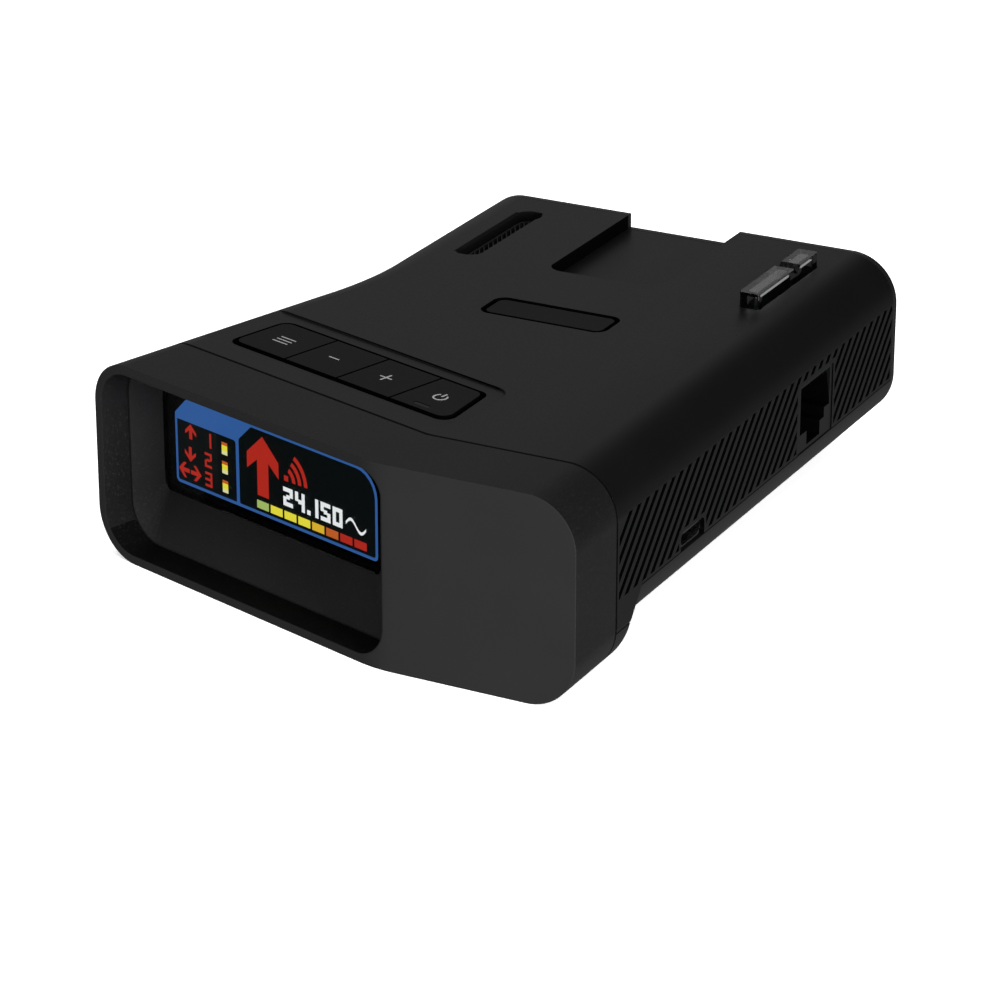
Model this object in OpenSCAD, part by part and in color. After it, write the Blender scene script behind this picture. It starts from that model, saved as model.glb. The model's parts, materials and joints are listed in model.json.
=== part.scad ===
// Radar detector for a windscreen: a case of two shells behind an angled display bezel.
// X runs to the driver's right, Y towards the road and Z up. The origin is under the
// centre of the whole object, level with the lowest edge of the bezel.

/* [Case] */
// Overall width, from the display's outer edge to the right side
body_w = 90; // [88:0.5:92]
// Overall depth, from the driver's face to the road-facing window
body_d = 114; // [113:0.5:118]
// Height of the case, without the clear laser lens
body_h = 32; // [31.5:0.5:34]
// Width of the narrow rear half
rear_w = 74.3; // [72:0.1:75]
// Wall thickness of the plastic shells
wall_t = 1.8; // [1.6:0.1:2]
// Height of the rear half's underside above the bezel's lowest edge
underside_z = 4.5; // [4:0.1:5]
// Height of the seam between the top shell and the bottom cover
side_seam_z = 11.7; // [11.5:0.1:12]
// Radius of the long rounded edges on the right side
corner_r = 7.8; // [7:0.1:8]
// Radius of the long rounded edge on the top left
left_r = 7.2; // [6.8:0.1:7.6]
// Radius of the hollow bend in the left side
waist_r = 60; // [30:1:60]
// Gap that shows as a fine line between two shells
seam_gap = 0.18; // [0.08:0.01:0.2]

/* [Bezel and display] */
// Angle by which the display is turned towards the driver
face_turn = 16.9; // [15:0.1:18]
// Width of the turned part of the face
display_face_w = 60.4; // [60:0.1:61]
// Radius of the bend between the two parts of the face
kink_r = 20; // [16:1:24]
// Depth of the bezel from the face to its seam
bezel_d = 12.85; // [12.5:0.05:13.5]
// Width of the bezel's rim around the display opening
rim_t = 1.5; // [1.4:0.05:1.6]
// Radius of the face's lower left corner
face_low_r = 7.9; // [7.6:0.1:9]
// Depth of the straight wall inside the opening
rim_wall_d = 5.1; // [4.8:0.1:5.4]
// Depth of the funnel's rear end
hood_d = 11.3; // [11:0.1:11.6]

/* [Buttons] */
// Distance from one button of the row to the next
button_pitch = 11.25; // [11:0.05:11.5]
// Depth of the row's front edge behind the face
row_front = 19.15; // [19:0.05:19.4]
// Depth of the row's rear edge behind the face
row_rear = 29.85; // [29.6:0.05:30]
// Width of the dark groove around the buttons
groove_w = 0.85; // [0.7:0.05:1]
// Gap between two buttons of the row
button_gap = 0.4; // [0.35:0.05:0.5]
// Depth of the sunken panel around the row
panel_drop = 0.3; // [0.2:0.05:0.4]
// Length of the mute button
mute_l = 20; // [19:0.5:21]
// Width of the mute button
mute_w = 6; // [5.5:0.1:6.5]
// How far a button of the row goes down
button_travel = 0.5; // [0.4:0.05:0.5]

/* [Mount, sockets and lens] */
// Width of the notch that takes the windscreen bracket
notch_w = 19.7; // [19:0.1:21]
// Length of the notch
notch_l = 30.8; // [30:0.1:31]
// Depth of the notch below the top
notch_drop = 2.35; // [2:0.05:2.5]
// Length of the clear laser lens
lens_l = 22.6; // [22:0.1:23]
// Width of the clear laser lens
lens_w = 3.4; // [3.2:0.1:3.6]
// Height of the clear laser lens above the top
lens_rise = 2.5; // [2:0.1:3]
// Distance between two of the slanted grooves on the sides
rib_pitch = 2.8; // [2.6:0.1:3]
// Width of one slanted groove along the side
rib_groove_w = 1.35; // [0.9:0.05:1.5]

/* [Hidden] */
$fn = 96;
far = 200;
eps = 0.01;

// Sides of the case
right_x = body_w / 2;
left_x = -body_w / 2;
front_y = -body_d / 2;
rear_y = body_d / 2;
rear_left_x = right_x - rear_w;
plate_t = 1.27;
plate_y = rear_y - plate_t;
kink_x = left_x + display_face_w * cos(face_turn);
bend_centre = [kink_x + kink_r * tan(face_turn / 2), front_y + kink_r];
lobe_l = (rear_left_x - left_x) / sin(face_turn);
waist_reach = waist_r * tan(face_turn / 2);
waist_end_y = front_y + display_face_w * sin(face_turn) + lobe_l * cos(face_turn) + waist_reach;
waist_core_x = rear_left_x + 14;
// The straight walls run a little way into the hollow bend, which is a hair deeper
bend_overlap = 0.5;
bend_step = 0.03;
inner_top_z = body_h - wall_t;

// Chin behind the bezel's lower edge, as depths behind the face
chin_low_d = bezel_d + 1.85;
chin_mid_d = bezel_d + 4.65;
chin_high_d = bezel_d + 8.35;
chin_seam_z = 7.2;

// Display opening in the turned face, measured from the bend
open_l = -display_face_w + rim_t;
open_r = 1.2;
open_low = rim_t - 0.1;
open_high = body_h - rim_t;
open_radii = [6.2, 5, 4, 5.6];

// Window at the funnel's rear end
window_l = open_l + 0.9;
window_r = -11.2;
window_low = 8.1;
window_high = 25;

// Buttons
row_l = -50.1;
row_end_x = kink_x + 1.25;
panel_front = row_front - 2.4;
panel_rear = row_rear + 3.2;
panel_end_x = row_end_x + 3.5;
button_top_z = body_h - 0.1;
button_t = 1.9;
flange_t = 1.1;
flange_w = 0.75;
stem_r = 1.5;
switch_board_z = 24;
switch_board_t = 1.2;
switch_h = 2;
plunger_h = 0.2;
stem_end_z = switch_board_z + switch_h + plunger_h + button_travel + 0.1;
mute_x = kink_x - 5.05;
mute_y = 7.78;
mute_low = 0.3;

// Notch for the bracket
notch_l_x = -2.45;
notch_mid_x = notch_l_x + notch_w / 2;
notch_y = rear_y - notch_l;
notch_z = body_h - notch_drop;

// Speaker slot
slot_x = -17;
slot_y = 38.25;
slot_w = 4.1;
slot_l = 23.9;
slot_bevel = 0.4;
slot_radii = [1, 2.2, 1, 2.2];
grille_z = body_h - 1.75;

// Laser lens
lens_x = 33.55;
lens_y = 35.9;
lens_pockets = [[-9.8, 1.4], [5.2, 9.8]];

// Sockets on the right side
jack_y = 25.35;
jack_w = 12.7;
jack_z = 17.2;
jack_h = 11;
jack_open_w = 11.2;
jack_open_h = 5.1;
usb_y = -19.05;
usb_w = 7.5;
usb_h = 2.4;
usb_pad_w = 9.2;
usb_pad_h = 3.4;

// Boards
board_top = 11.6;
board_t = 1.6;
case_screw_xy = [[-20, 50.5], [36.8, 50.5], [36.8, -11.3], [-22.5, -6]];
board_screw_xy = [[18, -14], [-16, -11], [-9, 12]];

function unit(v) = v / norm(v);

// Centre of the arc that rounds the corner p between the points a and b
function arc_centre(a, p, b, r) =
  p + unit(unit(a - p) + unit(b - p)) * r / sin(acos(unit(a - p) * unit(b - p)) / 2);

// Distance from the corner to the ends of that arc
function arc_reach(a, p, b, r) = r / tan(acos(unit(a - p) * unit(b - p)) / 2);

// Convex outline through points, with each corner rounded by its own radius
module rounded_shape(points, radii) {
  n = len(points);
  polygon([
    for (i = [0 : n - 1])
      let (p = points[i], a = points[(i + n - 1) % n], b = points[(i + 1) % n], r = radii[i])
      for (q = r > 0 ? [a, b] : [p])
        r > 0 ? p + unit(q - p) * arc_reach(a, p, b, r) : p
  ]);
  for (i = [0 : n - 1])
    if (radii[i] > 0)
      translate(arc_centre(points[(i + n - 1) % n], points[i], points[(i + 1) % n], radii[i]))
        circle(r = radii[i]);
}

// Rectangle with its corners rounded: radii are lower left, lower right, upper right, upper left
module rounded_box(low, high, radii) {
  rounded_shape([low, [high[0], low[1]], high, [low[0], high[1]]], radii);
}

// Extrudes an X-Z outline from y0 to y1
module along_y(y0, y1) {
  translate([0, y0, 0]) mirror([0, 1, 0]) rotate([90, 0, 0]) linear_extrude(y1 - y0) children();
}

// Extrudes a Y-Z outline from x0 to x1
module along_x(x0, x1) {
  translate([x0, 0, 0]) rotate([90, 0, 90]) linear_extrude(x1 - x0) children();
}

// Extrudes an X-Y outline from z0 to z1
module along_z(z0, z1) {
  translate([0, 0, z0]) linear_extrude(z1 - z0) children();
}

// A block between two corners
module block(low, high) {
  translate(low) cube(high - low);
}

// The display's own frame: x along its face from the bend, y into the case
module turned() {
  translate([kink_x, front_y, 0]) rotate([0, 0, -face_turn]) children();
}

// Everything at least a depth d behind the bent face
module behind_face(d) {
  n = [-sin(face_turn), -cos(face_turn)];
  left_end = bend_centre + (kink_r - d) * n;
  right_end = bend_centre + [0, -(kink_r - d)];
  along_z(-5, body_h + 10) {
    polygon([
      left_end - far * [cos(face_turn), -sin(face_turn)], left_end, right_end,
      [far, right_end[1]], [far, far], [-far, far]
    ]);
    translate(bend_centre) circle(r = kink_r - d);
  }
}

// The case behind the face as one prism per straight stretch, with the hollow bend of the
// left side between them, all drawn in by i; inside, the floor is a little lower on the right
module case_body(i) {
  low = underside_z + i;
  high = body_h - i;
  right_radius = corner_r - i;
  left_radii = [corner_r - i, 0, 0, left_r - i];
  floor_step = i > 0 ? 0.1 : 0;
  // rear half, up to the bend
  along_y(waist_end_y - bend_overlap, plate_y + (i > 0 ? far : 0))
    rounded_box([rear_left_x + i, low], [right_x - i, high],
                [corner_r - i, right_radius, right_radius, left_r - i]);
  // right side, beside the bend and the display
  along_y(front_y, waist_end_y + 5)
    rounded_box([waist_core_x, low - floor_step], [right_x - i, high],
                [0, right_radius, right_radius, 0]);
  // behind the display
  turned() along_y(0, lobe_l - waist_reach + bend_overlap)
    rounded_box([-display_face_w + i, low], [-5, high], left_radii);
  // hollow bend
  translate([rear_left_x - waist_r, waist_end_y, 0])
    intersection() {
      rotate_extrude()
        rounded_box([waist_r + i + bend_step, low + bend_step], [waist_r + 20, high],
                    left_radii - [bend_step, 0, 0, 0]);
      along_z(0, body_h) polygon([[0, 0], [far, 0], far * [cos(face_turn), -sin(face_turn)]]);
    }
}

// Full-height block behind the face, d deep, drawn in by i
module face_block(i, d) {
  along_y(front_y - 1, front_y + d)
    rounded_box([kink_x - 10, i], [right_x - i, body_h - i], [0, corner_r - i, corner_r - i, 0]);
  turned() along_y(-1, d)
    rounded_box([-display_face_w + i, i], [8, body_h - i], [face_low_r - i, 0, 0, left_r - i]);
}

// Space in front of the chin's sloping rear side
module chin_space() {
  over = 1;
  over_d = chin_high_d + over * (chin_high_d - chin_mid_d) / (side_seam_z - chin_seam_z);
  outline = [
    [0, -1], [chin_low_d, -1], [chin_low_d, 0], [chin_mid_d, chin_seam_z],
    [over_d, side_seam_z + over], [0, side_seam_z + over]
  ];
  translate([0, front_y, 0]) along_x(-far, far) polygon(outline);
  turned() along_x(-far, far) polygon(outline);
}

// The case behind the bezel as one solid
module case_solid() {
  intersection() {
    union() {
      case_body(0);
      intersection() {
        face_block(0, chin_high_d + 3);
        chin_space();
      }
    }
    behind_face(bezel_d + seam_gap);
  }
}

// The room inside the case
module case_room() {
  intersection() {
    union() case_body(wall_t);
    behind_face(bezel_d - 1);
  }
}

// The space of the top shell, with the seam's gap below it
module upper_zone() {
  block([-far, -far, side_seam_z - seam_gap], [far, far, body_h + 5]);
  difference() {
    chin_space();
    block([-far, -far, -5], [far, far, chin_seam_z - seam_gap]);
  }
}

module opening_outline(i) {
  rounded_box([open_l + i, open_low + i], [open_r - i, open_high - i],
              [for (r = open_radii) r - i]);
}

module window_outline(i) {
  rounded_box([window_l - i, window_low - i], [window_r + i, window_high + i], [1, 1, 1, 1] * (1 + i));
}

module front_bezel() {
  color([0.2, 0.2, 0.21])
  difference() {
    intersection() {
      face_block(0, bezel_d + 5);
      behind_face(0);
    }
    behind_face(bezel_d);
    turned() along_y(-5, bezel_d + 5) opening_outline(0);
    // room behind the plain part of the face
    difference() {
      along_y(front_y + 2.2, front_y + bezel_d + 5)
        rounded_box([kink_x, wall_t], [right_x - wall_t, body_h - wall_t],
                    [0, corner_r - wall_t, corner_r - wall_t, 0]);
      turned() block([-far, -far, -far], [open_r + 1.6, far, far]);
    }
  }
}

// Funnel that leads from the opening to the window
module display_hood() {
  color([0.09, 0.09, 0.1])
  turned() difference() {
    intersection() {
      hull() {
        along_y(rim_wall_d, rim_wall_d + 0.6) opening_outline(0.1, $fn = 32);
        along_y(hood_d - 0.2, hood_d) window_outline(1.3, $fn = 32);
      }
      along_y(rim_wall_d - 1, hood_d + 1) opening_outline(0.1);
    }
    hull() {
      along_y(rim_wall_d - 0.5, rim_wall_d) opening_outline(0.4, $fn = 32);
      along_y(hood_d, hood_d + 0.5) window_outline(0, $fn = 32);
    }
  }
}

module display_window() {
  color([0.12, 0.13, 0.15, 0.6])
  turned() along_y(hood_d + 0.05, hood_d + 0.85) window_outline(0.6);
}

module display_panel() {
  panel_d = hood_d + 1;
  color([0.03, 0.03, 0.04])
  turned() {
    along_y(panel_d, panel_d + 1.5)
      rounded_box([window_l + 0.1, window_low + 0.1], [window_r - 0.2, window_high - 0.2], [2.6, 0, 0, 0]);
    block([window_l + 6, panel_d + 1.5 - eps, window_low - 1.2],
          [window_r - 8, panel_d + 1.7, window_low + 3]);
  }
}

module display_board() {
  board_d = hood_d + 2.75;
  color([0.05, 0.3, 0.18])
  turned() difference() {
    along_y(board_d, board_d + 1.2)
      rounded_box([window_l, 7.2], [-9.5, 28], [6, 1, 1, 4]);
    for (z = [9.2, 25.8])
      along_y(board_d - 1, board_d + 3) translate([-10 - 1.6, z]) circle(r = 0.9);
  }
}

// Flat ribbon from the display board down to the main board
module display_ribbon() {
  color([0.75, 0.45, 0.15])
  turned() translate([-40, 0, 0]) {
    along_x(0, 12) {
      translate([hood_d + 4.05, 8.6]) square([0.2, 8]);
      translate([hood_d + 4.05, 8.6]) square([10, 0.2]);
    }
  }
}

// Slanted grooves over a stretch of a side wall, from z0 up to z1
module slanted_grooves(y0, y1, z0, z1) {
  rise = z1 - z0;
  first = ceil((y0 - rise) / rib_pitch);
  last = floor(y1 / rib_pitch);
  intersection() {
    for (i = [first : last])
      translate([i * rib_pitch + 0.3, 0])
        polygon([[0, z0], [rib_groove_w, z0], [rib_groove_w + rise, z1], [rise, z1]]);
    translate([y0, z0]) square([y1 - y0, rise]);
  }
}

module side_grooves() {
  depth = 0.55;
  z0 = side_seam_z + 0.45;
  z1 = body_h - corner_r + 0.4;
  frame_t = 0.75;
  along_x(right_x - depth, right_x + 1)
    difference() {
      slanted_grooves(front_y + bezel_d + 0.7, plate_y - 0.5, z0, z1);
      translate([jack_y - jack_w / 2 - frame_t, 0])
        square([jack_w + 2 * frame_t, jack_z + jack_h / 2 + frame_t]);
      translate([usb_y - usb_pad_w / 2, 0]) square([usb_pad_w, side_seam_z + usb_pad_h]);
    }
  along_x(rear_left_x - 1, rear_left_x + depth)
    slanted_grooves(waist_end_y + 2, plate_y - 0.5, z0, body_h - left_r - 1.6);
}

// Outline of the sunken panel, in the display's frame, open at the left
module panel_outline() {
  t = tan(face_turn);
  end_front = (panel_end_x - kink_x - panel_front * sin(face_turn)) / cos(face_turn);
  end_rear = (panel_end_x - kink_x - panel_rear * sin(face_turn)) / cos(face_turn);
  rounded_shape([[-far, panel_front], [end_front, panel_front], [end_rear, panel_rear], [-far, panel_rear]],
                [0, 3.5, 3.5, 0]);
}

// Depth d of the row's slanted right end, drawn in by i
function row_end(d, i) = (row_end_x - kink_x - d * sin(face_turn)) / cos(face_turn) - i;

// Outline of the whole row of buttons, grown by g
module row_outline(g) {
  f = row_front - g;
  r = row_rear + g;
  rounded_shape([[row_l - g, f], [row_end(f, -g), f], [row_end(r, -g), r], [row_l - g, r]],
                [1.6, 1.6, 1.6, 1.6] + [1, 1, 1, 1] * g / 2);
}

module mute_outline(g) {
  translate([mute_x, mute_y])
    rounded_box([-mute_l / 2 - g, -mute_w / 2 - g], [mute_l / 2 + g, mute_w / 2 + g],
                [1, 1, 1, 1] * (1.2 + g));
}

module boss(xy, r, hole_r, z0, z1) {
  translate([xy[0], xy[1], 0]) difference() {
    along_z(z0, z1) circle(r = r);
    along_z(z0 - 1, z1 - 1) circle(r = hole_r);
  }
}

module slot_outline(g) {
  translate([slot_x, slot_y])
    rounded_box([-slot_w / 2 - g, -slot_l / 2 - g], [slot_w / 2 + g, slot_l / 2 + g],
                [for (r = slot_radii) max(r + g, 0.3)]);
}

module top_shell() {
  tub_t = 1.5;
  color([0.13, 0.13, 0.14])
  difference() {
    union() {
      difference() {
        case_solid();
        case_room();
        block([-far, -far, -5], [far, far, side_seam_z]);
      }
      // the seam steps down along the chin
      difference() {
        intersection() {
          face_block(0, chin_high_d + 3);
          chin_space();
          behind_face(bezel_d + seam_gap);
        }
        case_room();
        block([-far, -far, -5], [far, far, chin_seam_z]);
      }
      // tub under the bracket's notch
      intersection() {
        block([notch_l_x - tub_t, notch_y - tub_t, notch_z - tub_t],
              [notch_l_x + notch_w + tub_t, plate_y, body_h - eps]);
        case_solid();
      }
      // frame around the speaker slot
      along_z(grille_z - 1.9, inner_top_z + eps) slot_outline(1.7);
      for (p = case_screw_xy) boss(p, 2.8, 0.95, board_top, inner_top_z + eps);
      for (p = board_screw_xy) boss(p, 2.2, 0.75, switch_board_z, inner_top_z + eps);
    }
    side_grooves();
    // sunken panel and the well of the button row
    turned() along_z(body_h - panel_drop, body_h + 5) panel_outline();
    turned() along_z(inner_top_z - 5, body_h + 5) row_outline(groove_w);
    along_z(inner_top_z - 5, body_h + 5) mute_outline(groove_w);
    // bracket's notch, open to the rear
    along_z(notch_z, body_h + 5)
      rounded_box([notch_l_x, notch_y], [notch_l_x + notch_w, rear_y + 5], [2.5, 4, 0, 0]);
    // speaker slot with a bevelled left wall
    along_z(grille_z - 3, body_h + 5) slot_outline(0);
    along_y(slot_y - slot_l / 2 + 0.6, slot_y + slot_l / 2 - 1.6)
      translate([slot_x - slot_w / 2, body_h])
        polygon([[-slot_bevel, 0], [-slot_bevel, 1], [0.5, 1], [0.5, -slot_bevel], [0, -slot_bevel]]);
    // seat of the laser lens
    translate([lens_x, lens_y]) {
      along_z(inner_top_z - 5, body_h + 5)
        rounded_box([-lens_w / 2 - 0.1, -lens_l / 2 - 0.1], [lens_w / 2 + 0.1, lens_l / 2 + 0.1],
                    [1, 1, 1, 1] * 0.6);
    }
    // sockets
    block([right_x - 5, jack_y - jack_w / 2 - 0.1, jack_z - jack_h / 2 - 0.1],
          [right_x + 5, jack_y + jack_w / 2 + 0.1, jack_z + jack_h / 2 + 0.1]);
    along_x(right_x - 5, right_x + 5) translate([usb_y, side_seam_z + 0.1])
      rounded_box([-usb_w / 2 - 0.25, -1], [usb_w / 2 + 0.25, usb_h + 0.25], [0, 0, 0.9, 0.9]);
  }
}

module bottom_cover() {
  color([0.12, 0.12, 0.13])
  difference() {
    union() {
      difference() {
        case_solid();
        case_room();
        upper_zone();
      }
      for (p = case_screw_xy)
        translate([p[0], p[1], 0]) along_z(underside_z + 1, board_top - board_t) circle(r = 3.1);
    }
    for (p = case_screw_xy) translate([p[0], p[1], 0]) {
      along_z(-1, board_top) circle(r = 1.3);
      along_z(-1, underside_z + 2.6) circle(r = 2.4);
    }
    // seat of the label
    along_z(underside_z - 1, underside_z + 0.3)
      rounded_box([-12, -2], [30, 34], [2, 2, 2, 2]);
  }
}

module rear_window() {
  color([0.05, 0.05, 0.06])
  difference() {
    along_y(plate_y + seam_gap, rear_y)
      rounded_box([rear_left_x, underside_z], [right_x, body_h], [corner_r, corner_r, corner_r, left_r]);
    block([notch_l_x, plate_y - 1, notch_z], [notch_l_x + notch_w, rear_y + 1, body_h + 1]);
  }
}

// Slatted insert in the speaker slot
module speaker_grille() {
  slat_step = 1.56;
  slat_gap = 0.62;
  slat_turn = 30;
  color([0.1, 0.1, 0.11])
  difference() {
    along_z(grille_z - 1.8, grille_z) slot_outline(-0.05);
    intersection() {
      for (i = [-8 : 8])
        translate([slot_x, slot_y + i * slat_step, 0]) rotate([0, 0, slat_turn])
          block([-slat_gap / 2, -5, grille_z - 0.9], [slat_gap / 2, 5, grille_z + 5]);
      along_z(grille_z - 5, grille_z + 5) slot_outline(-0.4);
    }
  }
}

speaker_low = [-19.5, 23.4];
speaker_high = [-6.5, 47];
speaker_top_z = 27.4;

module speaker_gasket() {
  color([0.18, 0.18, 0.18])
  along_z(speaker_top_z, grille_z - 1.95) difference() {
    rounded_box(speaker_low, [speaker_high[0], speaker_high[1]], [2, 2, 2, 2]);
    rounded_box(speaker_low + [1.4, 1.4], speaker_high - [1.4, 1.4], [1.2, 1.2, 1.2, 1.2]);
  }
}

module speaker_basket() {
  color([0.25, 0.25, 0.27])
  difference() {
    along_z(speaker_top_z - 6, speaker_top_z - seam_gap)
      rounded_box(speaker_low, speaker_high, [2, 2, 2, 2]);
    along_z(speaker_top_z - 4.5, speaker_top_z + 1)
      rounded_box(speaker_low + [1, 1], speaker_high - [1, 1], [1.4, 1.4, 1.4, 1.4]);
  }
}

module speaker_cone() {
  mid = (speaker_low + speaker_high) / 2;
  color([0.08, 0.08, 0.08])
  translate([mid[0], mid[1], 0]) {
    along_z(speaker_top_z - 1.4, speaker_top_z - 0.9)
      rounded_box([-5.3, -10.6], [5.3, 10.6], [3, 3, 3, 3]);
    along_z(speaker_top_z - 4.4, speaker_top_z - 1.4) circle(r = 4);
  }
}

// One button of the row, between the display-frame positions u0 and u1
module row_button(u0, u1) {
  mid = [(u0 + u1) / 2, (row_front + row_rear) / 2];
  low = button_top_z - button_t;
  turned() {
    along_z(low, button_top_z) intersection() {
      row_outline(0);
      translate([u0, 0]) square([u1 - u0, far]);
    }
    // flange that stops under the shell
    along_z(low - flange_t, low + eps)
      translate([u0 + 0.8, row_front - groove_w - flange_w])
        square([u1 - u0 - 2.4, row_rear - row_front + 2 * (groove_w + flange_w)]);
    along_z(stem_end_z, low) translate(mid) circle(r = stem_r);
  }
}

function button_l(i) = row_l + i * button_pitch + (i > 0 ? button_gap / 2 : 0);
function button_r(i) = row_l + (i + 1) * button_pitch - button_gap / 2;

module menu_button() {
  color([0.1, 0.1, 0.11]) row_button(button_l(0), button_r(0));
}

module minus_button() {
  color([0.1, 0.1, 0.11]) row_button(button_l(1), button_r(1));
}

module plus_button() {
  color([0.1, 0.1, 0.11]) row_button(button_l(2), button_r(2));
}

light_u = -10.9;
light_d = 20.5;

module power_light_outline(g) {
  translate([light_u, light_d])
    rounded_box([-1.6 - g, -0.35 - g], [1.6 + g, 0.35 + g], [1, 1, 1, 1] * (0.3 + g));
}

module power_button() {
  right_end = row_end(row_rear, 0);
  color([0.1, 0.1, 0.11])
  difference() {
    union() {
      row_button(button_l(3), right_end);
      turned() along_z(button_top_z - button_t, button_top_z) intersection() {
        row_outline(0);
        translate([right_end - 1, 0]) square([far, far]);
      }
    }
    turned() along_z(button_top_z - far, button_top_z + 1) power_light_outline(0.02);
  }
}

// Light guide that shows the power lamp through the button
module power_light() {
  color([0.8, 0.85, 0.9])
  turned() along_z(button_top_z - button_t - flange_t - 0.3, button_top_z - 0.05) power_light_outline(0);
}

module mute_button() {
  low = button_top_z - button_t;
  color([0.12, 0.12, 0.13]) {
    along_z(low, button_top_z) mute_outline(0);
    along_z(low - flange_t, low + eps) mute_outline(groove_w + flange_w - 0.1);
    along_z(stem_end_z, low) translate([mute_x, mute_y]) circle(r = stem_r);
  }
}

function row_mid(i) = [row_l + (i + 0.5) * button_pitch, (row_front + row_rear) / 2];

module switch_board() {
  color([0.05, 0.3, 0.18])
  difference() {
    along_z(switch_board_z - switch_board_t, switch_board_z) {
      translate([kink_x, front_y]) rotate(-face_turn)
        translate([-54, row_front - 1.5]) square([47, 15]);
      translate([-25, -16]) square([45.5, 31]);
    }
    for (p = case_screw_xy) translate([p[0], p[1], 0]) along_z(0, body_h) circle(r = 3.1);
    for (p = board_screw_xy) translate([p[0], p[1], 0]) along_z(0, body_h) circle(r = 1);
  }
}

module tact_switch() {
  along_z(switch_board_z, switch_board_z + switch_h)
    rounded_box([-2.6, -2.6], [2.6, 2.6], [0.4, 0.4, 0.4, 0.4]);
  along_z(switch_board_z + switch_h - eps, switch_board_z + switch_h + plunger_h) circle(r = 1.2);
}

module tact_switches() {
  color([0.7, 0.7, 0.72]) {
    turned() for (i = [0 : 3]) translate(row_mid(i)) tact_switch();
    translate([mute_x, mute_y]) tact_switch();
  }
}

module gps_antenna() {
  color([0.75, 0.68, 0.5])
  translate([-6, 1, 0]) {
    along_z(switch_board_z, switch_board_z + 3.6)
      rounded_box([-8, -8], [8, 8], [0.6, 0.6, 0.6, 0.6]);
    along_z(switch_board_z + 3.6 - eps, switch_board_z + 3.8)
      rounded_box([-6.8, -6.8], [6.8, 6.8], [0.4, 0.4, 0.4, 0.4]);
  }
}

module main_board() {
  color([0.05, 0.3, 0.18])
  difference() {
    along_z(board_top - board_t, board_top)
      rounded_box([-24.6, -24], [42.2, 54], [2, 2, 2, 2]);
    for (p = case_screw_xy) translate([p[0], p[1], 0]) along_z(0, body_h) circle(r = 1.5);
  }
}

// Processor, memory, wireless module and regulators
module board_chips() {
  chips = [
    [[-12.5, -2], [12, 12], 1.4], [[-14, 14], [8, 10], 1.2], [[-2, -14], [6, 5], 1],
    [[-18, 30], [12, 9], 2.2], [[-12, 45], [7, 5], 1.6], [[33, 42], [6, 6], 1.5]
  ];
  color([0.08, 0.08, 0.09])
  for (c = chips)
    translate([c[0][0], c[0][1], 0])
      along_z(board_top, board_top + c[2]) square(c[1], center = true);
}

rf_low = [5, -22];
rf_high = [33, 15.5];
rf_h = 6.5;

module rf_housing() {
  color([0.62, 0.63, 0.65])
  along_z(board_top, board_top + rf_h) difference() {
    rounded_box(rf_low, rf_high, [1, 1, 1, 1]);
    rounded_box(rf_low + [1.2, 1.2], rf_high - [1.2, 1.2], [0.5, 0.5, 0.5, 0.5]);
  }
}

module rf_cover() {
  color([0.72, 0.72, 0.74])
  along_z(board_top + rf_h, board_top + rf_h + 0.8)
    rounded_box(rf_low, rf_high, [1, 1, 1, 1]);
}

// Horn that widens from a throat to a mouth, along +Y, open at the mouth
module horn(mouth_w, mouth_h, throat_w, throat_h, l, t) {
  difference() {
    hull() {
      along_y(0, 0.5) translate([-throat_w / 2 - t, -throat_h / 2 - t])
        square([throat_w + 2 * t, throat_h + 2 * t]);
      along_y(l - 0.5, l) translate([-mouth_w / 2 - t, -mouth_h / 2 - t])
        square([mouth_w + 2 * t, mouth_h + 2 * t]);
    }
    hull() {
      along_y(t, t + 0.5) translate([-throat_w / 2, -throat_h / 2]) square([throat_w, throat_h]);
      along_y(l, l + 0.5) translate([-mouth_w / 2, -mouth_h / 2]) square([mouth_w, mouth_h]);
    }
  }
}

module front_horn() {
  color([0.68, 0.69, 0.7])
  translate([10, 17, 19.8]) horn(26, 13.4, 12, 6, 37.5, 1.2);
}

module rear_horn() {
  color([0.68, 0.69, 0.7])
  translate([31, -24.5, 18.6]) rotate([0, 0, 180]) horn(18.5, 17, 10, 5.5, 28.5, 1.2);
}

module power_jack() {
  depth = 15;
  face_x = right_x - 0.15;
  back_x = face_x - depth;
  color([0.07, 0.07, 0.08])
  translate([0, jack_y, jack_z]) difference() {
    block([back_x, -jack_w / 2, -jack_h / 2], [face_x, jack_w / 2, jack_h / 2]);
    // opening for the plug, narrower towards the slot of its latch
    difference() {
      block([back_x + 2, -jack_open_w / 2, -1], [face_x + 1, jack_open_w / 2, jack_open_h]);
      // keys in the two upper corners
      for (y = [-jack_open_w / 2 - 1, jack_open_w / 2 - 1.7])
        block([back_x, y, jack_open_h - 1.1], [face_x - 0.6, y + 2.7, jack_open_h + 1]);
    }
    block([back_x + 3, -jack_open_w / 2, -2.6], [face_x + 1, 3.6, 0]);
    block([back_x + 4, -3, -4.9], [face_x + 1, 2, -2]);
  }
}

module jack_contacts() {
  color([0.85, 0.68, 0.3])
  for (i = [-1.5 : 1.5])
    translate([right_x - 12.5, jack_y + i * 1.1, jack_z + jack_open_h])
      along_y(-0.2, 0.2)
        polygon([[0, -0.1], [9, -0.1], [9, -0.5], [2, -1.5], [0, -1.5]]);
}

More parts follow.
